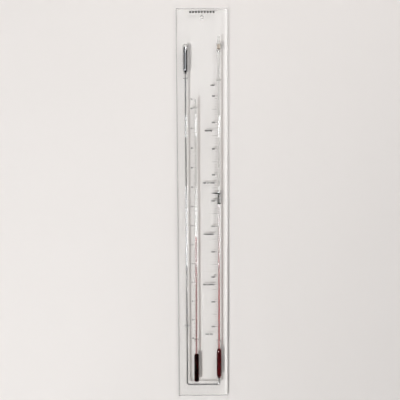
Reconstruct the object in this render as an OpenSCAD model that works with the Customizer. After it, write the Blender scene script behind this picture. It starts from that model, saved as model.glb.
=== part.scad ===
// Wall barometer with two liquids in one bent glass tube, on a clear plate, with a spirit
// thermometer. The scale runs upside down: the coloured liquid rises when the pressure falls.
// All lengths are in millimetres. The origin is the centre of the hanging hole on the plate's
// back face, +X is to the right as the reader sees it, the front faces -Y, and +Z is up.

/* [Plate] */
// Width of the clear plate
plate_w = 124; // [112:1:150]
// Thickness of the clear plate
plate_t = 10; // [6:0.5:14]
// Bare plate above the sealed end of the mercury limb
top_margin = 85.5; // [70:0.5:110]
// Bare plate below the centre line of the bend
bottom_margin = 35; // [20:1:60]
// Bevel along the polished edges
edge_bevel = 0.8; // [0.3:0.1:1.5]

/* [Hanging hole] */
// Diameter of the hanging hole
hang_d = 8; // [4:0.5:12]
// Centre of the hanging hole below the top edge
hang_down = 20; // [12:1:40]

/* [Barometer glass] */
// Height of the mercury limb, from the centre line of the bend to the sealed end
limb_h = 839.5; // [830:0.5:900]
// Distance between the two limbs, centre to centre
limb_gap = 80; // [74:1:92]
// Outer diameter of the capillary tube
tube_d = 7; // [6:0.1:8]
// Bore of the capillary tube
bore_d = 1.5; // [1:0.1:2.5]
// Radius of the two bends, along the centre line
bend_r = 5; // [4.5:0.5:8]
// Outer diameter of the blown bulbs
bulb_d = 12.2; // [10:0.1:13]
// Wall of the blown bulbs
bulb_wall = 1; // [0.7:0.1:1.4]
// Length of the sealed bulb on the mercury limb, down to its taper
vacuum_len = 61; // [50:1:70]
// Straight length of the liquid bulb at the foot of the riser
reservoir_len = 59; // [50:1:62]
// Foot of the liquid bulb's lower taper above the centre line of the bend
reservoir_up = 15.5; // [14:0.5:18]
// Length of a taper between tube and bulb
taper_len = 10; // [8:0.5:11]

/* [Open end of the riser] */
// Top of the riser below the top edge of the plate
riser_down = 68; // [58:1:76]
// Outer diameter of the overflow chamber
chamber_d = 10.6; // [9:0.1:12]
// Straight length of the overflow chamber
chamber_len = 14; // [10:1:18]
// Length of each taper of the overflow chamber
chamber_taper = 5; // [4:0.5:7]
// Outer diameter of the open neck
neck_d = 5.6; // [5:0.1:6.5]
// Bore of the open neck
neck_bore_d = 3.2; // [2.5:0.1:3.8]
// Length of the open neck
neck_len = 12; // [8:1:16]
// Length of the dust plug
plug_len = 11; // [6:1:13]

/* [Pressure scale] */
// Lowest pressure on the scale, in millibar, at its top
p_low = 960; // [950:5:970]
// Highest pressure on the scale, in millibar, at its bottom
p_high = 1050; // [1040:5:1050]
// Top line of the pressure scale below the top edge of the plate
p_down = 206.2; // [200:0.2:212]
// Length of one millibar on the scale
p_pitch = 6.35; // [6:0.01:6.4]
// Length of a millibar's line
p_line_len = 8.7; // [6:0.1:10]
// Length of the line at each fifth millibar that has no number
p_long_line_len = 15.7; // [10:0.1:18]
// Pressure that the coloured liquid shows
p_now = 1001; // [985:1:1030]
// Pressure at which the index stands
p_index = 997; // [985:1:1020]

/* [Thermometer] */
// Centre line of the thermometer left of the middle of the plate
thermo_x = 16.5; // [14:0.5:20]
// Outer diameter of the thermometer tube
thermo_d = 7; // [6:0.1:8]
// Bore of the thermometer tube
thermo_bore_d = 1.5; // [0.8:0.1:2]
// Top of the thermometer below the top edge of the plate
thermo_down = 212; // [206:1:222]
// Whole length of the thermometer
thermo_len = 706; // [700:0.2:712]
// Outer diameter of the thermometer bulb
thermo_bulb_d = 12.2; // [10:0.1:12.5]
// Length of the thermometer bulb
thermo_bulb_len = 72.5; // [60:0.5:80]
// Highest temperature on the scale, in degrees
t_high = 50; // [45:5:50]
// Lowest temperature on the scale, in degrees
t_low = -10; // [-10:5:0]
// Top line of the temperature scale below the top edge of the plate
t_down = 235.7; // [230:0.1:240]
// Length of one degree on the scale
t_pitch = 9.53; // [9:0.01:9.6]
// Length of a degree's line
t_line_len = 6.5; // [5:0.1:8]
// Temperature that the spirit shows
t_now = 17; // [5:1:35]

/* [Liquids] */
// Mercury level below the sealed end of its bulb
mercury_down = 7; // [6:1:45]
// Meeting of the two liquids above the foot of the liquid bulb's lower taper
interface_up = 2.5; // [1:0.5:40]

/* [Tie wires] */
// Diameter of the tie wire
wire_d = 0.9; // [0.6:0.1:1.2]
// Distance between the two legs of a tie, centre to centre
tie_span = 10; // [9.6:0.1:12]
// Upper tie of the mercury limb below the taper of its bulb
left_tie_down = 7; // [4:1:30]
// Lower tie of the mercury limb above the centre line of the bend
left_tie_up = 149; // [60:1:200]
// Upper tie of the riser above the top line of the pressure scale
riser_tie_up = 38; // [20:1:60]
// Lower tie of the riser above the liquid bulb's upper taper
riser_tie_clear = 15; // [6:1:16]
// Upper tie of the thermometer above the top line of the temperature scale
thermo_tie_clear = 2.3; // [1.5:0.1:8]
// Lower tie of the thermometer above its bulb
thermo_tie_up = 33; // [10:1:60]

/* [Index] */
// Thickness of the index's spring sheet
index_t = 0.4; // [0.3:0.1:0.6]
// Sweep of a finger round the tube, in degrees
finger_sweep = 245; // [200:5:270]
// Height of the two upper fingers
finger_h = 1.4; // [1:0.1:2.5]
// Height of the lower finger
lower_finger_h = 3.4; // [2:0.1:5]
// Distance from the first finger to the second
second_finger = 7.4; // [4:0.1:12]
// Distance from the first finger to the lower finger
lower_finger = 25.7; // [16:0.1:26]
// Length of the pointer blade, from the tube's centre line to its tip
pointer_len = 20; // [12:0.5:22]
// Length of the blade's black arrow head
arrow_len = 15.5; // [8:0.5:16]
// Height of the arrow head at its base
arrow_h = 5.2; // [3:0.1:7]

/* [Fits] */
// Air between a bulb and the face of the plate
bulb_air = 0.2; // [0.1:0.05:0.4]
// Air between a liquid and its glass
liquid_air = 0.02; // [0.01:0.01:0.05]
// Air between a tie wire and its tube
tie_air = 0.1; // [0.05:0.05:0.3]
// Air round a tie wire in its hole
wire_air = 0.25; // [0.1:0.05:0.4]
// Air between the index and the riser
index_air = 0.15; // [0.1:0.05:0.3]
// Air between the dust plug and its chamber
plug_air = 0.1; // [0.05:0.05:0.3]
// Thickness of the printed ink
ink_t = 0.05; // [0.03:0.01:0.08]

/* [Hidden] */
$fn = 64;

// The height of a place that is given by its distance below the plate's top edge
function below(down) = hang_down - down;

// The plate ends a fixed margin above and below the glass
plate_h = top_margin + limb_h + bottom_margin;
plate_top = below(0);
plate_bottom = below(plate_h);
face_y = -plate_t;

// The limbs of the barometer glass
left_x = -limb_gap / 2;
right_x = limb_gap / 2;
tube_r = tube_d / 2;
bulb_r = bulb_d / 2;
glass_y = face_y - bulb_air - bulb_r;
limb_top = below(top_margin);
bend_z = limb_top - limb_h;
limb_foot = bend_z + bend_r;
vacuum_foot = limb_top - vacuum_len;
reservoir_foot = bend_z + reservoir_up + taper_len;
reservoir_head = reservoir_foot + reservoir_len;
riser_foot = reservoir_head + taper_len;

// The open end of the riser, from its top down
riser_top = below(riser_down);
neck_foot = riser_top - neck_len;
chamber_head = neck_foot - chamber_taper;
chamber_foot = chamber_head - chamber_len;
riser_head = chamber_foot - chamber_taper;

// The readings, as heights
function pressure_z(p) = below(p_down + (p - p_low) * p_pitch);
function temperature_z(t) = below(t_down + (t_high - t) * t_pitch);
mercury_z = limb_top - mercury_down;
interface_z = bend_z + reservoir_up + interface_up;
index_z = pressure_z(p_index);

// The thermometer, from its top down
thermo_r = thermo_d / 2;
thermo_bulb_r = thermo_bulb_d / 2;
thermo_y = face_y - bulb_air - thermo_bulb_r;
thermo_top = below(thermo_down);
thermo_foot = thermo_top - thermo_len;
thermo_neck = thermo_foot + thermo_bulb_len;
thermo_round = 4;
thermo_shoulder = 3.2;

// The thermometer's bore ends in a small chamber that takes the spirit of a hot day
spare_r = 1.1;
spare_len = 6;
spare_down = 0.8;
spare_head = thermo_top - thermo_r - spare_down;
spare_foot = spare_head - spare_len;

// A tie wire's rear ends lie in a groove in the plate's back
wire_r = wire_d / 2;
wire_hole_d = wire_d + 2 * wire_air;
rear_bend_r = 1.2;
rear_wire_in = 0.4;
rear_wire_y = -wire_r - rear_wire_in;
groove_depth = wire_r - rear_wire_y + wire_air;
rear_end_gap = 0.6;

// The index: fingers run from the front of the riser, round its right side, to its rear
finger_start = -95;
spine_w = 4.4;
index_in_r = tube_r + index_air;
index_out_r = index_in_r + index_t;
spine_over = 0.5;
index_top = index_z + finger_h / 2 + spine_over;
index_foot = index_z - lower_finger - lower_finger_h / 2 - spine_over;
spine_y = glass_y + index_out_r - index_t / 2;
blade_y = spine_y + index_t;
blade_t = 0.3;

// Printed lines start beside the centre line of their tube
line_h = 0.45;
bold_line_h = 0.6;
line_start = 0.5;

// Steps of a rounded wall, and how far a cut runs past what it cuts
round_steps = 8;
cut = 1;

// A wall that eases from one radius to another between two heights
function ease(r0, z0, r1, z1) = [
    for (i = [0 : round_steps])
        let (t = i / round_steps)
        [r0 + (r1 - r0) * (1 - cos(180 * t)) / 2, z0 + (z1 - z0) * t]
];

// A wall that closes over the axis: upwards with up = 1, downwards with up = -1
function close_over(r, z, rise, up = 1) = [
    for (i = [0 : round_steps])
        let (a = 90 * i / round_steps)
        [r * cos(a), z + up * rise * sin(a)]
];

function backwards(list) = [for (i = [len(list) - 1 : -1 : 0]) list[i]];

// A solid of revolution from a wall that is listed from its foot to its head
module turned(wall) {
    foot = wall[0];
    head = wall[len(wall) - 1];
    rotate_extrude()
        polygon(concat([[0, foot[1]]], wall, head[0] > 0.001 ? [[0, head[1]]] : []));
}

// The walls of the glass. Each is its outer wall with inset = 0, and the bore of the same
// stretch with the wall's thickness as inset.
function mercury_limb_wall(r_tube, inset) = concat(
    [[r_tube, limb_foot]],
    ease(r_tube, vacuum_foot - taper_len, bulb_r - inset, vacuum_foot),
    close_over(bulb_r - inset, limb_top - bulb_r, bulb_r - inset)
);

function riser_wall(r_tube, r_neck, inset) = concat(
    [[r_tube, limb_foot]],
    ease(r_tube, reservoir_foot - taper_len, bulb_r - inset, reservoir_foot),
    ease(bulb_r - inset, reservoir_head, r_tube, riser_foot),
    ease(r_tube, riser_head, chamber_d / 2 - inset, chamber_foot),
    ease(chamber_d / 2 - inset, chamber_head, r_neck, neck_foot),
    [[r_neck, riser_top]]
);

// A quarter bend in the plane of the limbs, round (x, z), from the angle given
module quarter_bend(x, z, start, r) {
    translate([x, glass_y, z])
        rotate([90, 0, 0])
            rotate([0, 0, start])
                rotate_extrude(angle = 90)
                    translate([bend_r, 0])
                        circle(r = r);
}

// The bottom of the U: a level run between two quarter bends. A ball inside the tube at
// each end of a bend makes one body of the stretches that meet there face to face.
module u_bend(r) {
    core_r = 0.8 * r;
    quarter_bend(left_x + bend_r, limb_foot, 180, r);
    quarter_bend(right_x - bend_r, limb_foot, 270, r);
    translate([left_x + bend_r, glass_y, bend_z])
        rotate([0, 90, 0])
            cylinder(r = r, h = limb_gap - 2 * bend_r);
    for (x = [left_x, right_x])
        translate([x, glass_y, limb_foot])
            sphere(r = core_r);
    for (x = [left_x + bend_r, right_x - bend_r])
        translate([x, glass_y, bend_z])
            sphere(r = core_r);
}

module at_left_limb() {
    translate([left_x, glass_y, 0]) children();
}

module at_riser() {
    translate([right_x, glass_y, 0]) children();
}

module glass_outside() {
    at_left_limb() turned(mercury_limb_wall(tube_r, 0));
    at_riser() turned(riser_wall(tube_r, neck_d / 2, 0));
    u_bend(tube_r);
}

// The space inside the glass, drawn in by the air given. The neck's bore runs out at the top.
module glass_inside(air = 0) {
    bore_r = bore_d / 2 - air;
    at_left_limb() turned(mercury_limb_wall(bore_r, bulb_wall + air));
    at_riser() turned(riser_wall(bore_r, neck_bore_d / 2 - air, bulb_wall + air));
    u_bend(bore_r);
}

// One glass piece: mercury limb with a sealed bulb, U-bend, liquid bulb, riser, overflow
// chamber and open neck
module barometer_tube() {
    color("lightcyan", 0.4)
        difference() {
            glass_outside();
            glass_inside();
        }
}

// A domed liquid surface at a height, as the solid that is kept below it
module below_meniscus(x, z, r) {
    dome_r = 2 * r;
    span = 4 * bulb_d;
    foot = bend_z - bulb_d;
    translate([x, glass_y, z - dome_r])
        intersection() {
            sphere(r = dome_r);
            translate([-span / 2, -span / 2, dome_r / 2])
                cube([span, span, dome_r]);
        }
    translate([x - span / 2, glass_y - span / 2, foot])
        cube([span, span, z - dome_r / 4 - foot]);
}

// Mercury fills the glass from the sealed bulb, round the bend, to the liquid bulb's lower taper
module mercury_column() {
    middle = bulb_d;
    color("dimgray")
        intersection() {
            glass_inside(liquid_air);
            union() {
                below_meniscus(left_x, mercury_z, bulb_r);
                below_meniscus(right_x, interface_z, bulb_r);
                translate([left_x + middle, glass_y - middle, bend_z - middle])
                    cube([limb_gap - 2 * middle, 2 * middle, 2 * middle]);
            }
        }
}

// The coloured liquid stands on the mercury and rises in the fine bore
module indicator_liquid() {
    span = 2 * bulb_d;
    foot_z = bend_z + reservoir_up;
    level_z = pressure_z(p_now);
    color("darkred")
        difference() {
            intersection() {
                at_riser()
                    turned(riser_wall(bore_d / 2 - liquid_air, neck_bore_d / 2, bulb_wall + liquid_air));
                translate([right_x - span / 2, glass_y - span / 2, foot_z])
                    cube([span, span, level_z - foot_z]);
            }
            translate([0, 0, liquid_air])
                below_meniscus(right_x, interface_z, bulb_r);
        }
}

// A felt plug in the overflow chamber keeps dust out and lets the air in
module dust_plug() {
    plug_r = chamber_d / 2 - bulb_wall - plug_air;
    soft_r = 1.2;
    plug_foot = chamber_foot + (chamber_len - plug_len) / 2;
    color("tan")
        at_riser()
            turned(concat(
                [[plug_r - soft_r, plug_foot]],
                ease(plug_r - soft_r, plug_foot, plug_r, plug_foot + soft_r),
                ease(plug_r, plug_foot + plug_len - soft_r, plug_r - soft_r, plug_foot + plug_len)
            ));
}

// The thermometer's outer wall, and with an inset and a bore its space for the spirit
function thermometer_wall(r_tube, inset, top) = concat(
    backwards(close_over(thermo_bulb_r - inset, thermo_foot + thermo_round, thermo_round - inset, -1)),
    ease(thermo_bulb_r - inset, thermo_neck - thermo_shoulder, r_tube, thermo_neck),
    [[r_tube, top]]
);

module thermometer_outside() {
    translate([-thermo_x, thermo_y, 0])
        turned(concat(
            thermometer_wall(thermo_r, 0, thermo_top - thermo_r),
            close_over(thermo_r, thermo_top - thermo_r, thermo_r)
        ));
}

module thermometer_inside(air, top) {
    translate([-thermo_x, thermo_y, 0])
        turned(thermometer_wall(thermo_bore_d / 2 - air, bulb_wall + air, top));
}

module spare_chamber() {
    translate([-thermo_x, thermo_y, 0])
        turned(concat(
            ease(thermo_bore_d / 2, spare_foot, spare_r, spare_foot + 2 * spare_r),
            close_over(spare_r, spare_head - spare_r, spare_r)
        ));
}

module thermometer_tube() {
    color("lightcyan", 0.4)
        difference() {
            thermometer_outside();
            thermometer_inside(0, spare_foot + spare_r);
            spare_chamber();
        }
}

module thermometer_spirit() {
    color("maroon") thermometer_inside(liquid_air, temperature_z(t_now));
}

// One tie: where it stands, and the tube that it holds
function tie_x(tie) = tie[0];
function tie_z(tie) = tie[1];
function tie_front(tie) = tie[2];

limb_front = glass_y - tube_r;
thermo_front = thermo_y - thermo_r;
upper_left_tie = [left_x, vacuum_foot - taper_len - left_tie_down, limb_front];
lower_left_tie = [left_x, bend_z + left_tie_up, limb_front];
upper_right_tie = [right_x, pressure_z(p_low) + riser_tie_up, limb_front];
lower_right_tie = [right_x, riser_foot + riser_tie_clear, limb_front];
bend_tie = [right_x, (limb_foot + reservoir_foot - taper_len) / 2, limb_front];
thermo_top_tie = [-thermo_x, temperature_z(t_high) + thermo_tie_clear, thermo_front];
thermo_bottom_tie = [-thermo_x, thermo_neck + thermo_tie_up, thermo_front];
ties = [
    upper_left_tie, lower_left_tie, upper_right_tie, lower_right_tie, bend_tie,
    thermo_top_tie, thermo_bottom_tie
];

// A staple of wire over the tube. Its legs pass through the plate, and its ends are bent in.
module tie_wire(tie) {
    leg = tie_span / 2;
    arch_y = tie_front(tie) - tie_air + leg - wire_r;
    leg_end_y = rear_wire_y - rear_bend_r;
    color("dimgray")
        translate([tie_x(tie), 0, tie_z(tie)]) {
            translate([0, arch_y, 0])
                rotate([0, 0, 180])
                    rotate_extrude(angle = 180)
                        translate([leg, 0])
                            circle(r = wire_r);
            for (side = [-1, 1])
                translate([side * leg, arch_y, 0])
                    rotate([-90, 0, 0])
                        cylinder(r = wire_r, h = leg_end_y - arch_y);
            for (side = [0, 1])
                mirror([side, 0, 0]) {
                    translate([leg - rear_bend_r, leg_end_y, 0])
                        rotate_extrude(angle = 90)
                            translate([rear_bend_r, 0])
                                circle(r = wire_r);
                    translate([rear_end_gap / 2, rear_wire_y, 0])
                        rotate([0, 90, 0])
                            cylinder(r = wire_r, h = leg - rear_bend_r - rear_end_gap / 2);
                }
        }
}

module tie_upper_left() { tie_wire(upper_left_tie); }
module tie_lower_left() { tie_wire(lower_left_tie); }
module tie_upper_right() { tie_wire(upper_right_tie); }
module tie_lower_right() { tie_wire(lower_right_tie); }
module tie_bend() { tie_wire(bend_tie); }
module tie_thermometer_top() { tie_wire(thermo_top_tie); }
module tie_thermometer_bottom() { tie_wire(thermo_bottom_tie); }

// A bar of the plate's section, with all four edges bevelled
module bevelled_bar(w, t, h) {
    b = edge_bevel;
    linear_extrude(h)
        polygon([
            [-w / 2 + b, 0], [-w / 2, b], [-w / 2, t - b], [-w / 2 + b, t],
            [w / 2 - b, t], [w / 2, t - b], [w / 2, b], [w / 2 - b, 0]
        ]);
}

// The plate's outer form: its long bar cut to length by a bar that runs across it
module plate_blank() {
    intersection() {
        translate([0, face_y, plate_bottom])
            bevelled_bar(plate_w, plate_t, plate_h);
        translate([-plate_w / 2, face_y, (plate_top + plate_bottom) / 2])
            rotate([90, 0, 90])
                rotate([0, 0, 90])
                    mirror([0, 1, 0])
                        bevelled_bar(plate_h, plate_t, plate_w);
    }
}

// A hole of diameter d through the plate
module drill(d) {
    translate([0, face_y - cut, 0])
        rotate([-90, 0, 0])
            cylinder(d = d, h = plate_t + 2 * cut);
}

// The two holes of a tie, and the groove between them in the plate's back
module tie_holes(tie) {
    translate([tie_x(tie), 0, tie_z(tie)]) {
        for (side = [-1, 1])
            translate([side * tie_span / 2, 0, 0])
                drill(wire_hole_d);
        translate([-tie_span / 2, -groove_depth, -wire_hole_d / 2])
            cube([tie_span, groove_depth + cut, wire_hole_d]);
    }
}

module back_plate() {
    color("aliceblue", 0.4)
        difference() {
            plate_blank();
            drill(hang_d);
            for (tie = ties)
                tie_holes(tie);
        }
}

// A printed line on the face of the plate, which runs left from beside the tube at x
module printed_line(x, len, z, h) {
    translate([x - line_start - len, face_y - ink_t, z - h / 2])
        cube([len, ink_t, h]);
}

// One line for each millibar, and a long one for each fifth that has no number
module pressure_scale() {
    color("black")
        for (p = [p_low : p_high]) {
            len = p % 10 == 5 ? p_long_line_len : p_line_len;
            printed_line(right_x, len, pressure_z(p), p % 5 == 0 ? bold_line_h : line_h);
        }
}

// One line for each degree, beside the thermometer, cut where a tie's leg goes through it
module temperature_scale() {
    color("black")
        difference() {
            for (t = [t_low : t_high])
                printed_line(-thermo_x, t_line_len, temperature_z(t), t % 5 == 0 ? bold_line_h : line_h);
            tie_holes(thermo_top_tie);
            tie_holes(thermo_bottom_tie);
        }
}

// A finger of the spring clip at a height
module finger(z, h) {
    translate([0, 0, z - h / 2])
        rotate([0, 0, finger_start])
            rotate_extrude(angle = finger_sweep)
                translate([index_in_r, 0])
                    square([index_t, h]);
}

// The spring clip that slides on the riser: three fingers on a flat spine behind the tube
module index_clip() {
    color("black")
        difference() {
            union() {
                at_riser() {
                    finger(index_z, finger_h);
                    finger(index_z - second_finger, finger_h);
                    finger(index_z - lower_finger, lower_finger_h);
                }
                translate([right_x - spine_w / 2, spine_y, index_foot])
                    cube([spine_w, index_t, index_top - index_foot]);
            }
            translate([right_x, glass_y, index_foot - cut])
                cylinder(r = index_in_r, h = index_top - index_foot + 2 * cut);
        }
}

// The pointer blade lies against the spine and reaches over the scale
module index_pointer() {
    tip_x = right_x - pointer_len;
    base_x = tip_x + arrow_len;
    end_x = right_x + spine_w / 2;
    head_top = arrow_h / 3;
    shank_top = 0.6;
    shank_foot = -2.4;
    color("black")
        translate([0, blade_y + blade_t, index_z])
            rotate([90, 0, 0])
                linear_extrude(blade_t)
                    polygon([
                        [tip_x, 0], [base_x, head_top], [base_x, shank_top], [end_x, shank_top],
                        [end_x, shank_foot], [base_x, shank_foot], [base_x, head_top - arrow_h]
                    ]);
}

back_plate();
pressure_scale();
temperature_scale();
barometer_tube();
mercury_column();
indicator_liquid();
dust_plug();
thermometer_tube();
thermometer_spirit();
tie_upper_left();
tie_lower_left();
tie_upper_right();
tie_lower_right();
tie_bend();
tie_thermometer_top();
tie_thermometer_bottom();
index_clip();
index_pointer();
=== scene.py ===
# %% [markdown]
# # A wall barometer with two liquids, dressed in Blender
#
# The real object is one bent glass tube on a tall clear plate. Mercury fills the left limb and the
# bend, and a dark red liquid floats on it in the right limb and climbs a fine bore when the air
# pressure falls. A spirit thermometer hangs between the limbs, and a small black index slides on
# the right one.
#
# The construction comes in ready made as a fixed frame, in metres, with the hanging hole at the
# origin, the front towards -Y and the back of the plate at Y = 0. This script only adds what the
# eye needs: finishes, liquids that wet their glass, the printed numbers, the light and the camera.

# %% Load the frame
import math

import bpy
import bmesh
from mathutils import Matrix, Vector


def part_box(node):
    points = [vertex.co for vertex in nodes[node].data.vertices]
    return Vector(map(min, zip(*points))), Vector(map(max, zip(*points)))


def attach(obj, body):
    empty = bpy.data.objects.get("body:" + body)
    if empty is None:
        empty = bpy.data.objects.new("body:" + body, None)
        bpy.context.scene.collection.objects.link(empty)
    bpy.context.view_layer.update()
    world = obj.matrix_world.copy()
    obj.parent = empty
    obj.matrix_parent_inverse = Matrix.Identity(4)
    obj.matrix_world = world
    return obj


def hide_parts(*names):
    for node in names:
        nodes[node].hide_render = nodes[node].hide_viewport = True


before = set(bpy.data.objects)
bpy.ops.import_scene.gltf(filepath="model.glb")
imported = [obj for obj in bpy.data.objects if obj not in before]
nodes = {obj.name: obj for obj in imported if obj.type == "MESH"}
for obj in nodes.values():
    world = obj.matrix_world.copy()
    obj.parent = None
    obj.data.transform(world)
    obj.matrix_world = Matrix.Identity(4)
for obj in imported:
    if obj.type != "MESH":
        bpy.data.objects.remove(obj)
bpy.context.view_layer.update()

# %% Measure the plate
MM = 0.001
plate_low, plate_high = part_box("back_plate")
plate_middle = (plate_low + plate_high) / 2
face_y = plate_low.y
print("nodes:", len(nodes), "front face of the plate at", round(face_y / MM, 2), "mm")

# %% [markdown]
# ## The camera
#
# A photograph of a tall flat plate tells where its camera stood: the four corners of the plate must
# land on four known points of the picture. The top of the plate is drawn 7% wider than its foot, so
# the lens was level with the upper half of the plate, a metre away, and looked slightly down.

# %% Place the camera
CAMERA_PLACE = Vector((-0.006, -1.0, -0.366))
CAMERA_PITCH, CAMERA_ROLL = math.radians(-4.17), math.radians(0.25)
CAMERA_LENS = 36.3

camera_data = bpy.data.cameras.new("camera")
camera_data.lens = CAMERA_LENS
camera = bpy.data.objects.new("camera", camera_data)
bpy.context.scene.collection.objects.link(camera)
camera.location = CAMERA_PLACE
camera.rotation_euler = (math.pi / 2 + CAMERA_PITCH, CAMERA_ROLL, 0)
bpy.context.scene.camera = camera
away = (CAMERA_PLACE - plate_middle).length
print("camera", CAMERA_LENS, "mm lens,", round(away, 3), "m from the middle of the plate")

# %% [markdown]
# ## Small helpers for shader nodes
#
# Every finish below is a small graph of shader nodes, and so is the light of the room. Written out
# in full, such a graph takes a line for each socket. `Nodes` keeps it short: it adds a node with
# its settings in one call and joins sockets by name. A plain number or colour is put on the socket
# itself, and a socket of another node makes a link.

# %% A helper that adds and joins nodes


class Nodes:
    """The shader nodes of a material or of the world, which is the owner."""

    def __init__(self, owner, output):
        self.owner = owner
        owner.use_nodes = True
        self.tree = owner.node_tree
        self.tree.nodes.clear()
        self.output = self.node(output)

    def node(self, kind, settings=None, **inputs):
        """Adds a shader node. Names of inputs are written with _ for a space."""
        made = self.tree.nodes.new("ShaderNode" + kind)
        for key, value in (settings or {}).items():
            setattr(made, key, value)
        for key, value in inputs.items():
            self.put(made.inputs[key.replace("_", " ")], value)
        return made

    def put(self, socket, value):
        """Sets a socket to a number or to a colour of three numbers, or links another socket."""
        if isinstance(value, bpy.types.NodeSocket):
            self.tree.links.new(value, socket)
        elif socket.type == "RGBA":
            socket.default_value = (*value, 1)
        else:
            socket.default_value = value

    def math(self, operation, *values):
        made = self.node("Math", {"operation": operation})
        for socket, value in zip(made.inputs, values):
            self.put(socket, value)
        return made.outputs[0]

    def ramp(self, value, low, high, start=0.3, end=0.7, shape="LINEAR"):
        """Maps a value from start to end onto low to high. Noise lies between 0.3 and 0.7."""
        made = self.node("MapRange", {"interpolation_type": shape}, Value=value, From_Min=start,
                         From_Max=end, To_Min=low, To_Max=high)
        return made.outputs[0]

    def rise(self, value, start, end, shape="LINEAR"):
        """0 up to the start, 1 from the end on, and a slope between them."""
        return self.ramp(value, 0.0, 1.0, start, end, shape)

    def mix(self, share, first, second):
        """Shows the first shader where share is 0 and the second where it is 1."""
        made = self.node("MixShader", Fac=share)
        self.put(made.inputs[1], first.outputs[0])
        self.put(made.inputs[2], second.outputs[0])
        return made

    def is_mirrored(self):
        """1 for a ray that was mirrored on its way, else 0. The depth counts how many times."""
        return self.math("GREATER_THAN", self.node("LightPath").outputs["Glossy Depth"], 0.5)

    def surface(self, shader):
        self.put(self.output.inputs["Surface"], shader.outputs[0])
        return self.owner


# %% [markdown]
# A material needs a few nodes more, for its pattern. Photographs of wire, ink or felt could be
# wrapped round the parts, but noise that is worked out for each point has no seams, stays sharp
# from near and needs no picture. It lies in metres, so a scale of 1000 makes grains of about
# a millimetre.

# %% A helper that builds materials


class Finish(Nodes):
    """A new material. Its patterns lie in the frame's own metres."""

    def __init__(self, name):
        super().__init__(bpy.data.materials.new(name), "OutputMaterial")

    def place(self):
        """Where a point is, as a node with the outputs X, Y and Z."""
        return self.node("SeparateXYZ", Vector=self.node("TexCoord").outputs["Object"])

    def noise(self, scale, detail, stretch=(1, 1, 1)):
        """Soft noise, stretched along an axis by a small factor there."""
        place = self.node("TexCoord").outputs["Object"]
        scaled = self.node("Mapping", Vector=place, Scale=stretch)
        made = self.node("TexNoise", Vector=scaled.outputs[0], Scale=scale, Detail=detail)
        return made.outputs["Fac"]

    def tone(self, value, dark, light):
        """A colour between two colours. Each is three numbers or the socket of another tone."""
        made = self.node("Mix", {"data_type": "RGBA"})
        for place, content in ((0, value), (6, dark), (7, light)):
            self.put(made.inputs[place], content)
        return made.outputs[2]

    def blend(self, value, first, second):
        """A number between two numbers."""
        made = self.node("Mix", {"data_type": "FLOAT"})
        for place, content in ((0, value), (2, first), (3, second)):
            self.put(made.inputs[place], content)
        return made.outputs[0]

    def bump(self, height, strength, distance):
        made = self.node("Bump", Height=height, Strength=strength, Distance=distance)
        return made.outputs[0]


def dress(material, *names):
    """Gives CAD nodes their finish."""
    for name in names:
        for slot in nodes[name].material_slots:
            slot.material = material
    print(material.name, "on", ", ".join(names))


# %% [markdown]
# ## Clear plate and clear glass
#
# Clear plastic and glass are seen only by what they bend and mirror. A path tracer draws that
# truly, but it finds no lamp through a bent surface, so everything behind would turn black. The
# usual way out is used here: a ray that asks for light, of a lamp or of the room, goes straight
# through and is only dimmed.

# %% A helper for clear finishes


def asks_for_light(f):
    """1 for a ray that goes to a lamp or to the light of the room, 0 for one that looks."""
    path = f.node("LightPath")
    return f.math("MAXIMUM", path.outputs["Is Shadow Ray"], path.outputs["Is Diffuse Ray"])


def clear_finish(name, ior, tint, smear, lamp_light, clearness=None):
    """A clear solid. lamp_light makes the colour that is left of a lamp's light at a surface."""
    f = Finish(name)
    roughness = f.ramp(f.noise(scale=9, detail=4), low=0.0, high=smear)
    waves = f.bump(f.noise(scale=14, detail=2), strength=0.05, distance=0.2 * MM)
    glass = f.node("BsdfPrincipled", Base_Color=tint, IOR=ior, Roughness=roughness, Normal=waves)
    f.put(glass.inputs["Transmission Weight"], clearness(f) if clearness else 1.0)
    through = f.node("BsdfTransparent", Color=lamp_light(f))
    return f.surface(f.mix(asks_for_light(f), glass, through))


# %% [markdown]
# The plate dims no light through its two faces. Its polished left and right sides throw light
# aside, and that draws the grey bands on the wall beside the real plate. To make these bands, less
# light gets out through a side than in. A ray runs from the wall to the lamp, so it meets a side
# from within where the light gets in.

# %% Finish of the plate
PLATE_IOR, PLATE_TINT, PLATE_SMEAR = 1.49, (0.985, 0.99, 0.985), 0.02
FACE_STRAIGHTNESS, FACE_PASSES = 0.9, 1.0
EDGE_CLEARNESS, SIDE_REACH = 0.7, 1 * MM
IN_FRONT_PASSES, IN_FRONT_Y = 1.0, 0.66 * face_y
IN_REAR_PASSES, IN_REAR_Y = 0.35, 0.54 * face_y
OUT_LOW_PASSES, OUT_LOW_Z = 0.05, -0.7
OUT_HIGH_PASSES, OUT_HIGH_Z = 0.5, -0.2


def is_cut_edge(f):
    """1 on the sides of the plate and in its holes, 0 on its two faces."""
    normal = f.node("SeparateXYZ", Vector=f.node("NewGeometry").outputs["Normal"])
    return f.math("LESS_THAN", f.math("ABSOLUTE", normal.outputs["Y"]), FACE_STRAIGHTNESS)


def plate_clearness(f):
    """A cut and polished edge is never quite as clear as a face."""
    return f.ramp(is_cut_edge(f), 1.0, EDGE_CLEARNESS, 0.0, 1.0)


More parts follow.
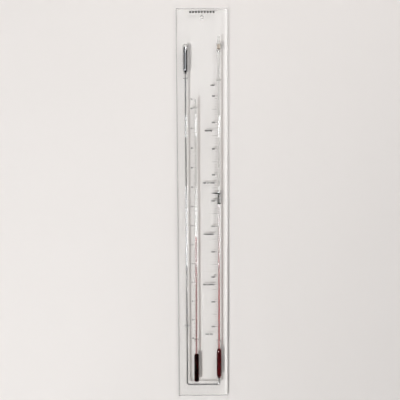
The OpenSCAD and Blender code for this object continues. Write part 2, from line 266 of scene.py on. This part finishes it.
def plate_lamp_light(f):
    """Nothing is lost at the faces. The left and right sides let light in, and less of it out."""
    place = f.place()
    off_middle = f.math("ABSOLUTE", place.outputs["X"])
    is_outer = f.math("GREATER_THAN", off_middle, plate_high.x - SIDE_REACH)
    is_side = f.math("MULTIPLY", is_cut_edge(f), is_outer)
    gets_in = f.ramp(place.outputs["Y"], IN_FRONT_PASSES, IN_REAR_PASSES, IN_FRONT_Y, IN_REAR_Y)
    gets_out = f.ramp(place.outputs["Z"], OUT_LOW_PASSES, OUT_HIGH_PASSES, OUT_LOW_Z, OUT_HIGH_Z)
    from_within = f.node("NewGeometry").outputs["Backfacing"]
    return f.blend(is_side, FACE_PASSES, f.blend(from_within, gets_out, gets_in))


plate_clear = clear_finish("plate_acrylic", PLATE_IOR, PLATE_TINT, PLATE_SMEAR, plate_lamp_light,
                           plate_clearness)
dress(plate_clear, "back_plate")

# %% [markdown]
# A thick glass tube dims the light little at its rims, and more where the light meets its fine
# bore, which scatters it. So the shadow of a tube is a soft dark band, a little warm in colour.

# %% Finish of the tubes
GLASS_IOR, GLASS_TINT, GLASS_SMEAR = 1.47, (0.99, 0.995, 0.99), 0.01
BORE_PASSES, TUBE_PASSES = (0.50, 0.44, 0.42), (0.95, 0.95, 0.94)
BORE_FACING, TUBE_FACING = 0.10, 0.28


def tube_lamp_light(f):
    """Light that meets the tube squarely goes on to its bore."""
    facing = f.node("LayerWeight").outputs["Facing"]
    return f.tone(f.rise(facing, BORE_FACING, TUBE_FACING), BORE_PASSES, TUBE_PASSES)


tube_clear = clear_finish("tube_glass", GLASS_IOR, GLASS_TINT, GLASS_SMEAR, tube_lamp_light)
dress(tube_clear, "barometer_tube", "thermometer_tube")

# %% [markdown]
# ## Liquids that wet their glass
#
# In the frame each liquid stands a hair clear of its glass, as separate solids must. Real liquid
# touches the glass with no air between, and that hair would mirror like silver at its rims. So each
# liquid is shown by a copy that is swollen into the wall of the glass by a quarter of a millimetre,
# more than the flat facets of either mesh stand off the true curve. Seen from outside, the ray then
# meets glass and liquid with no air between them. A long straight stretch also gets a ring of
# points just inside each end, so that only the end itself takes part in the smooth turn of a taper.

# %% Helpers that swell a liquid
WET_SWELL = 0.25 * MM
LONG_STRETCH, END_RING = 6 * MM, 0.6 * MM
HEIGHT_DIGITS = 5
UP = (0, 0, 1)


def ring_long_stretches(grown):
    """Cuts a ring of points near both ends of each straight stretch that is long."""
    heights = sorted({round(vert.co.z, HEIGHT_DIGITS) for vert in grown.verts})
    for low, high in zip(heights, heights[1:]):
        if high - low > LONG_STRETCH:
            for z in (low + END_RING, high - END_RING):
                everything = grown.verts[:] + grown.edges[:] + grown.faces[:]
                bmesh.ops.bisect_plane(grown, geom=everything, plane_co=(0, 0, z), plane_no=UP)


def swell(grown):
    """Moves each point outwards and rounds the surface."""
    bmesh.ops.recalc_face_normals(grown, faces=grown.faces)
    grown.normal_update()
    for vert in grown.verts:
        vert.co += vert.normal * WET_SWELL
    for face in grown.faces:
        face.smooth = True


# %% [markdown]
# The copy is welded first, so that its facets share their points and move together. Corners of more
# than 35 degrees stay sharp when the rest is shaded round.

# %% Helpers that show a wet liquid
BOARD = "board"
WELD = 0.002 * MM
SHARP = math.radians(35)


def show(name, mesh, material):
    """Puts a mesh into the scene."""
    mesh.materials.append(material)
    piece = bpy.data.objects.new(name, mesh)
    bpy.context.scene.collection.objects.link(piece)
    return piece


def wet_piece(name, node, material):
    """Shows a liquid by a swollen copy of its CAD node."""
    mesh = nodes[node].data.copy()
    mesh.name = name
    grown = bmesh.new()
    grown.from_mesh(mesh)
    bmesh.ops.remove_doubles(grown, verts=grown.verts, dist=WELD)
    ring_long_stretches(grown)
    swell(grown)
    grown.to_mesh(mesh)
    grown.free()
    mesh.attributes.remove(mesh.attributes["custom_normal"])
    mesh.set_sharp_from_angle(angle=SHARP)
    mesh.materials.clear()
    piece = show(name, mesh, material)
    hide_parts(node)
    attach(piece, BOARD)
    print(name, len(mesh.vertices), "points")


# %% [markdown]
# Mercury is a mirror, a little greyer than silver. It is never quite still, so a faint slow wave
# stands on it.

# %% The mercury


def mercury_finish():
    f = Finish("mercury")
    shade = f.tone(f.noise(scale=60, detail=2), dark=(0.70, 0.70, 0.72), light=(0.80, 0.80, 0.82))
    slow = f.noise(scale=40, detail=1, stretch=(1, 1, 0.2))
    waves = f.bump(slow, strength=0.05, distance=0.2 * MM)
    metal = f.node("BsdfPrincipled", Base_Color=shade, Metallic=1.0, Roughness=0.06, Normal=waves)
    return f.surface(metal)


wet_piece("mercury_in_glass", "mercury_column", mercury_finish())

# %% [markdown]
# The two red liquids are clear and take light away along the way that it travels in them: a
# millimetre of it looks pink, and the thickness of a bulb looks nearly black. A plain red surface
# would look the same at any thickness. A volume that absorbs does what the dye does, so one finish
# serves for the fine bore and for the bulb. Up the riser, a tint on the surface of the liquid in
# the
# right limb fades out: that pale stretch is a painted highlight for the mirrored window over it.

# %% The red liquids
NO_TINT, BORE_TINT, BULB_TINT = (1.0, 1.0, 1.0), (0.80, 0.09, 0.10), (0.30, 0.04, 0.05)
BULB_END, BULB_TAPER = 79 * MM, 8 * MM
# Painted highlight: the tint fades to none between these depths below the liquid's top.
PAINTED_HIGHLIGHT_DOWN, HIGHLIGHT_FADE_DOWN = 55 * MM, 240 * MM
liquid_low, liquid_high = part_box("indicator_liquid")
bulb_end_z = liquid_low.z + BULB_END


def bleached(f):
    """Deepest tint in the bulb, red in the bore, and none near the riser's top: a painted
    highlight.
    """
    height = f.place().outputs["Z"]
    in_bore = f.rise(height, bulb_end_z - BULB_TAPER, bulb_end_z)
    # Painted highlight: the red fades out near the top of the riser.
    painted_highlight = f.rise(height, liquid_high.z - HIGHLIGHT_FADE_DOWN, liquid_high.z - PAINTED_HIGHLIGHT_DOWN)
    return f.tone(painted_highlight, f.tone(in_bore, BULB_TINT, BORE_TINT), NO_TINT)


def dyed_liquid(name, ior, dye, strength, tint_of=None):
    """A clear liquid with a dye. dye is the colour that it lets through, strength how fast."""
    f = Finish(name)
    roughness = f.ramp(f.noise(scale=50, detail=2), low=0.0, high=0.01)
    tint = tint_of(f) if tint_of else NO_TINT
    liquid = f.node("BsdfPrincipled", Base_Color=tint, IOR=ior, Transmission_Weight=1.0,
                    Roughness=roughness)
    through = f.node("BsdfTransparent", Color=tint)
    absorbs = f.node("VolumeAbsorption", Color=dye, Density=strength)
    f.put(f.output.inputs["Volume"], absorbs.outputs[0])
    return f.surface(f.mix(asks_for_light(f), liquid, through))


red_liquid = dyed_liquid("red_liquid", ior=1.40, dye=(0.60, 0.32, 0.38), strength=250,
                         tint_of=bleached)
red_spirit = dyed_liquid("red_spirit", ior=1.36, dye=(0.64, 0.09, 0.14), strength=1100)
wet_piece("red_liquid_in_glass", "indicator_liquid", red_liquid)
wet_piece("spirit_in_glass", "thermometer_spirit", red_spirit)

# %% [markdown]
# ## Small hard parts and the plug
#
# The ties are plain drawn wire, and the index is blackened spring sheet. Both could have one plain
# colour, but real metal is a little uneven in tone and gloss, and that shows when it is looked at
# from near. So each finish mixes two tones and two grades of gloss by noise.

# %% Finishes of the wire and the index


def wire_finish():
    f = Finish("tie_wire")
    shade = f.tone(f.noise(scale=900, detail=3), dark=(0.34, 0.34, 0.35), light=(0.55, 0.54, 0.52))
    roughness = f.ramp(f.noise(scale=1500, detail=2), low=0.25, high=0.45)
    return f.surface(f.node("BsdfPrincipled", Base_Color=shade, Metallic=1.0, Roughness=roughness))


def blackened_finish():
    f = Finish("black_steel")
    shade = f.tone(f.noise(scale=350, detail=4), dark=(0.006, 0.007, 0.006),
                   light=(0.028, 0.03, 0.026))
    roughness = f.ramp(f.noise(scale=700, detail=3), low=0.28, high=0.5)
    grain = f.bump(f.noise(scale=1200, detail=2), strength=0.1, distance=0.1 * MM)
    return f.surface(f.node("BsdfPrincipled", Base_Color=shade, Roughness=roughness, Normal=grain))


dress(wire_finish(), *[name for name in nodes if name.startswith("tie_")])
dress(blackened_finish(), "index_clip", "index_pointer")

# %% [markdown]
# The ink of the scales is matte and a little uneven, and the plug in the overflow chamber is pale
# felt. Felt could be made of thousands of hairs, but the plug is as small as a bean, so a fibrous
# pattern that also lifts the surface a little is enough.

# %% Finishes of the ink and the plug


def ink_finish():
    f = Finish("black_ink")
    shade = f.tone(f.noise(scale=500, detail=4), dark=(0.006, 0.005, 0.006),
                   light=(0.026, 0.024, 0.025))
    roughness = f.ramp(f.noise(scale=800, detail=3), low=0.5, high=0.7)
    return f.surface(f.node("BsdfPrincipled", Base_Color=shade, Roughness=roughness))


def felt_finish():
    f = Finish("felt")
    fibres = f.noise(scale=2500, detail=5, stretch=(1, 1, 0.4))
    shade = f.tone(fibres, dark=(0.70, 0.63, 0.54), light=(0.90, 0.84, 0.76))
    nap = f.bump(fibres, strength=0.6, distance=0.3 * MM)
    felt = f.node("BsdfPrincipled", Base_Color=shade, Roughness=0.9, Sheen_Weight=0.4, Normal=nap)
    return f.surface(felt)


ink = ink_finish()
dress(ink, "pressure_scale", "temperature_scale")
dress(felt_finish(), "dust_plug")

# %% [markdown]
# ## Numbers and words of the two scales
#
# The scales' lines are in the frame. The numbers could be a picture laid on the plate, but letters
# that are real shapes stay sharp from near. They are set in Blender's own built-in letters, turned
# to stand on the plate, and given the thickness of a coat of ink. Where each stands follows from
# the lines: the top line of a scale is its first reading and the bottom line its last.

# %% Helpers that print words on the plate
INK_T, INK_WELD = 0.05 * MM, 0.0005 * MM
LETTER_DEPTH, LETTER_BOLDNESS, LETTER_STEPS = 1.0, 0.055, 3


def ink_piece(name, drawn):
    """Makes one piece of ink of shapes that are drawn on the plate."""
    bmesh.ops.recalc_face_normals(drawn, faces=drawn.faces)
    mesh = bpy.data.meshes.new(name)
    drawn.to_mesh(mesh)
    drawn.free()
    piece = show(name, mesh, ink)
    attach(piece, BOARD)
    print(name, len(mesh.polygons), "faces")


def set_letters(text, alignment):
    """The mesh of a text. It lies in X and Y, and its depth runs both ways from Z = 0."""
    curve = bpy.data.curves.new(text, "FONT")
    curve.body = text
    curve.align_x = alignment
    curve.extrude = LETTER_DEPTH / 2
    curve.offset = LETTER_BOLDNESS
    curve.resolution_u = LETTER_STEPS
    letters = bpy.data.objects.new(text, curve)
    mesh = bpy.data.meshes.new_from_object(letters)
    bpy.data.objects.remove(letters)
    bpy.data.curves.remove(curve)
    return mesh


def print_words(name, entries):
    """entries: (text, x, z, height, alignment) in metres. They become one flat piece of ink."""
    drawn = bmesh.new()
    for text, x, z, height, alignment in entries:
        mesh = set_letters(text, alignment)
        tall = max(v.co.y for v in mesh.vertices)
        size = height / tall
        for v in mesh.vertices:
            right, up = v.co.x * size, (v.co.y - tall / 2) * size
            v.co = (x + right, face_y - INK_T / 2 - v.co.z * INK_T, z + up)
        drawn.from_mesh(mesh)
        bpy.data.meshes.remove(mesh)
    bmesh.ops.remove_doubles(drawn, verts=drawn.verts, dist=INK_WELD)
    ink_piece(name, drawn)


# %% [markdown]
# The pressure scale runs upside down, from 960 at the top to 1050 at the bottom, because the red
# liquid rises when the pressure falls. Traditional words for the weather stand beside it.

# %% Print the pressure scale's numbers and words
P_LOW, P_HIGH, P_STEP = 960, 1050, 10
P_NUMBER_X, P_NUMBER_H = 30.6 * MM, 3.7 * MM
P_UNIT_UP = 26 * MM
WORD_X, WORD_H = 15 * MM, 4.1 * MM
WEATHER = {973: "stormy", 993: "rain or wind", 1013: "changeable", 1033: "fine weather",
           1053: "very dry"}
LINE_HALF = 0.3 * MM
p_box_low, p_box_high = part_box("pressure_scale")
p_top, p_bottom = p_box_high.z - LINE_HALF, p_box_low.z + LINE_HALF


def pressure_z(p):
    return p_top + (p_bottom - p_top) * (p - P_LOW) / (P_HIGH - P_LOW)


numbers = [(str(p), P_NUMBER_X, pressure_z(p), P_NUMBER_H, "RIGHT")
           for p in range(P_LOW, P_HIGH + 1, P_STEP)]
print_words("pressure_numbers", numbers)
words = [(word, WORD_X, pressure_z(p), WORD_H, "CENTER") for p, word in WEATHER.items()]
words.append(("mbar", P_NUMBER_X, pressure_z(P_LOW) + P_UNIT_UP, P_NUMBER_H, "RIGHT"))
print_words("weather_words", words)

# %% [markdown]
# The thermometer has a line for each degree, and its numbers stand to the left of them.

# %% Print the temperature scale's numbers
T_LOW, T_HIGH, T_STEP = -10, 50, 5
T_NUMBER_X, T_NUMBER_H = -26.2 * MM, 3.4 * MM
T_UNIT_UP = 22 * MM
t_box_low, t_box_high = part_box("temperature_scale")
t_top, t_bottom = t_box_high.z - LINE_HALF, t_box_low.z + LINE_HALF


def temperature_z(t):
    return t_top + (t_bottom - t_top) * (T_HIGH - t) / (T_HIGH - T_LOW)


degrees = [(str(t), T_NUMBER_X, temperature_z(t), T_NUMBER_H, "CENTER")
           for t in range(T_LOW, T_HIGH + 1, T_STEP)]
degrees.append(("°C", T_NUMBER_X, temperature_z(T_HIGH) + T_UNIT_UP, T_NUMBER_H, "CENTER"))
print_words("temperature_numbers", degrees)

# %% [markdown]
# ## An ornament in place of a title
#
# A row of long beads with a small lozenge in each gap fills the place where such plates carry a
# title. Both shapes have a few straight sides only, so a loop draws them point by point.

# %% Helpers that draw the ornament


def print_outlines(name, outlines):
    """Thin closed shapes of ink. Each outline is a list of (x, z) round the shape."""
    drawn = bmesh.new()
    for outline in outlines:
        front = [drawn.verts.new((x, face_y - INK_T, z)) for x, z in outline]
        back = [drawn.verts.new((x, face_y, z)) for x, z in outline]
        drawn.faces.new(front)
        drawn.faces.new(list(reversed(back)))
        for i in range(len(outline)):
            j = (i + 1) % len(outline)
            drawn.faces.new((front[j], front[i], back[i], back[j]))
    ink_piece(name, drawn)


def lozenge(x, z, w, h):
    return [(x - w / 2, z), (x, z - h / 2), (x + w / 2, z), (x, z + h / 2)]


def bead(x, z, w, h, flat):
    return [(x - w / 2, z), (x - flat / 2, z - h / 2), (x + flat / 2, z - h / 2),
            (x + w / 2, z), (x + flat / 2, z + h / 2), (x - flat / 2, z + h / 2)]


# %% Print the ornament
ROW_W, BEADS = 63 * MM, 9
BEAD_W, BEAD_H, BEAD_FLAT = 5.0 * MM, 4.6 * MM, 2.8 * MM
LOZENGE_W, LOZENGE_H = 1.3 * MM, 2.2 * MM
ORNAMENT_DOWN = 9.6 * MM
ornament_z = plate_high.z - ORNAMENT_DOWN

shapes = []
pitch = ROW_W / BEADS
for i in range(BEADS):
    x = (i + 0.5) * pitch - ROW_W / 2
    shapes.append(bead(x, ornament_z, BEAD_W, BEAD_H, BEAD_FLAT))
    if i:
        shapes.append(lozenge(x - pitch / 2, ornament_z, LOZENGE_W, LOZENGE_H))
print_outlines("ornament", shapes)

# %% [markdown]
# ## Wall and floor
#
# The plate hangs on a plain pale wall and shows that wall through itself, so the wall belongs to
# the stage. It is seen from the front only: from behind, it lets the eye pass, so that the back of
# the plate can be looked at. A plain pale floor lies some two metres below the hanging hole. In
# mirrors it is shown nearly black, a painted shade like that of the dim far floor of a room.

# %% Finishes of the wall and the floor


def wall_finish():
    f = Finish("wall_paint")
    shade = f.tone(f.noise(scale=1.2, detail=2), dark=(0.77, 0.755, 0.745),
                   light=(0.82, 0.805, 0.80))
    rolled = f.bump(f.noise(scale=300, detail=3), strength=0.05, distance=0.5 * MM)
    paint = f.node("BsdfPrincipled", Base_Color=shade, Roughness=0.8, Normal=rolled)
    from_behind = f.node("NewGeometry").outputs["Backfacing"]
    return f.surface(f.mix(from_behind, paint, f.node("BsdfTransparent")))


def floor_finish():
    f = Finish("floor_paint")
    shade = f.tone(f.noise(scale=2, detail=3), dark=(0.72, 0.71, 0.70), light=(0.78, 0.77, 0.76))
    pale = f.node("BsdfPrincipled", Base_Color=shade, Roughness=0.7)
    # Painted shade: mirrors see the floor nearly black, as the dim far floor of a room.
    dark = f.node("BsdfDiffuse", Color=(0.02, 0.02, 0.02))
    return f.surface(f.mix(f.is_mirrored(), pale, dark))


# %% Build the stage
WALL_Y, FLOOR_Z = 0.4 * MM, -2.15
R = 6.0


def flat_sheet(name, corners, material):
    mesh = bpy.data.meshes.new(name)
    mesh.from_pydata(corners, [], [(0, 1, 2, 3)])
    piece = show(name, mesh, material)
    print(name, "faces", tuple(round(c) for c in mesh.polygons[0].normal))


wall_corners = [(-R, WALL_Y, FLOOR_Z), (R, WALL_Y, FLOOR_Z), (R, WALL_Y, R), (-R, WALL_Y, R)]
floor_corners = [(-R, -R, FLOOR_Z), (R, -R, FLOOR_Z), (R, R, FLOOR_Z), (-R, R, FLOOR_Z)]
flat_sheet("wall", wall_corners, wall_finish())
flat_sheet("floor", floor_corners, floor_finish())

# %% [markdown]
# ## Lamps
#
# On the real wall each tube has a dark shadow on its right and a paler one on its left, so there
# are two small lamps. The key stands low on the left. A weaker one stands high on the right. One
# large lamp would draw no such shadows. Two wide soft lamps fill in, one of them for the floor
# only.

# %% Light the wall and the floor
PLATE_AIM = Vector((0, 0, plate_middle.z))
FLOOR_SPREAD = math.radians(40)


def lamp(name, place, aim, size, power, colour):
    data = bpy.data.lights.new(name, "AREA")
    data.shape = "RECTANGLE"
    data.size, data.size_y = size
    data.energy = power
    data.color = colour
    made = bpy.data.objects.new(name, data)
    bpy.context.scene.collection.objects.link(made)
    made.location = place
    made.rotation_euler = (Vector(aim) - Vector(place)).to_track_quat("-Z", "Y").to_euler()
    print(name, power, "W")
    return made


lamp("key_lamp", place=(-1.6, -3.1, -1.6), aim=PLATE_AIM, size=(0.18, 0.22), power=77,
     colour=(1.0, 0.98, 0.96))
lamp("high_lamp", place=(1.35, -2.6, 1.2), aim=PLATE_AIM, size=(0.3, 0.3), power=11,
     colour=(1.0, 0.96, 0.93))
panel = lamp("soft_panel", place=(0.3, -1.3, 1.3), aim=(0, 0, -0.2), size=(1.6, 0.9), power=16,
             colour=(1.0, 0.95, 0.92))
floor_lamp = lamp("floor_lamp", place=(0, -4.6, 3.2), aim=(0, -4.6, FLOOR_Z), size=(3, 3), power=50,
                  colour=(1.0, 0.99, 0.98))
floor_lamp.data.spread = FLOOR_SPREAD
for soft in (panel, floor_lamp):
    soft.visible_glossy = soft.visible_transmission = False

# %% [markdown]
# Light that is caught inside the clear plate gathers along its right side and leaves there as
# a pale streak. A path tracer would need very many rays to find that by itself, so a thin strip
# inside the plate stands for it. The strip itself is never seen, only what it lights.

# %% Light the right side of the plate
GLOW_IN, GLOW_W, GLOW_Y = 4 * MM, 4 * MM, -4 * MM
GLOW_SPREAD = math.radians(50)
glow_x = plate_high.x - GLOW_IN
glow = lamp("edge_glow", place=(glow_x, GLOW_Y, plate_middle.z), aim=(glow_x, 0, plate_middle.z),
            size=(GLOW_W, plate_high.z - plate_low.z), power=0.0045, colour=(1.0, 0.99, 0.98))
glow.data.spread = GLOW_SPREAD
for seen_by in ("camera", "glossy", "transmission", "volume_scatter"):
    setattr(glow, "visible_" + seen_by, False)

# %% [markdown]
# The long white highlights on the glass are mirrored windows. Two panes stand for them. They light
# nothing and are only mirrored.

# %% Hang the two panes
PANE_COLOUR = (0.96, 0.98, 1.0)
upper_pane = lamp("upper_pane", place=(-0.92, -3.1, 0.09), aim=(0, 0, -0.25), size=(0.6, 0.23),
                  power=16, colour=PANE_COLOUR)
lower_pane = lamp("lower_pane", place=(-0.92, -3.1, -0.95), aim=(0, 0, -0.51), size=(0.6, 0.85),
                  power=72, colour=PANE_COLOUR)
for pane in (upper_pane, lower_pane):
    pane.visible_camera = pane.visible_diffuse = False

# %% [markdown]
# ## The room
#
# The room is even and pale, but in mirrors it is dark with one pale card, as the far side of
# a room is: that gives the mercury its dark rims. A picture of a room could stand in its place, but
# three plain backgrounds, chosen by the kind of ray, are easier to steer and need no file.

# %% Build the room
ROOM_LIGHT, BACKDROP_LIGHT, DARK_ROOM, CARD_LIGHT = 0.095, 0.75, 0.012, 0.6
CARD_AHEAD, CARD_ABOVE = (-0.80, -0.93), (0.08, 0.24)

bpy.context.scene.world = bpy.data.worlds.new("room")
room = Nodes(bpy.context.scene.world, "OutputWorld")
way = room.node("SeparateXYZ", Vector=room.node("TexCoord").outputs["Generated"])
ahead = room.rise(way.outputs["Y"], *CARD_AHEAD, "SMOOTHSTEP")
above = room.rise(way.outputs["Z"], *CARD_ABOVE, "SMOOTHSTEP")
card = room.math("MULTIPLY", ahead, above)
light = room.node("Background", Color=(0.86, 0.86, 0.87), Strength=ROOM_LIGHT)
backdrop = room.node("Background", Color=(0.90, 0.895, 0.89), Strength=BACKDROP_LIGHT)
far_side = room.node("Background", Color=(0.95, 0.97, 1.0),
                     Strength=room.math("MULTIPLY_ADD", card, CARD_LIGHT, DARK_ROOM))
path = room.node("LightPath")
by_glass = room.math("MAXIMUM", path.outputs["Is Glossy Ray"], path.outputs["Is Transmission Ray"])
is_looked_at = room.math("MAXIMUM", by_glass, path.outputs["Is Camera Ray"])
view = room.mix(room.is_mirrored(), backdrop, far_side)
room.surface(room.mix(is_looked_at, light, view))
print("room:", len(room.tree.nodes), "nodes")

# %% [markdown]
# The Standard view shows colours as the wall and the ink have them, where a film-like view would
# grey them. Caustics are left out, because clear pieces already let the light of lamps through.

# %% Set the view
bpy.context.scene.view_settings.view_transform = "Standard"
bpy.context.scene.cycles.caustics_reflective = False
bpy.context.scene.cycles.caustics_refractive = False
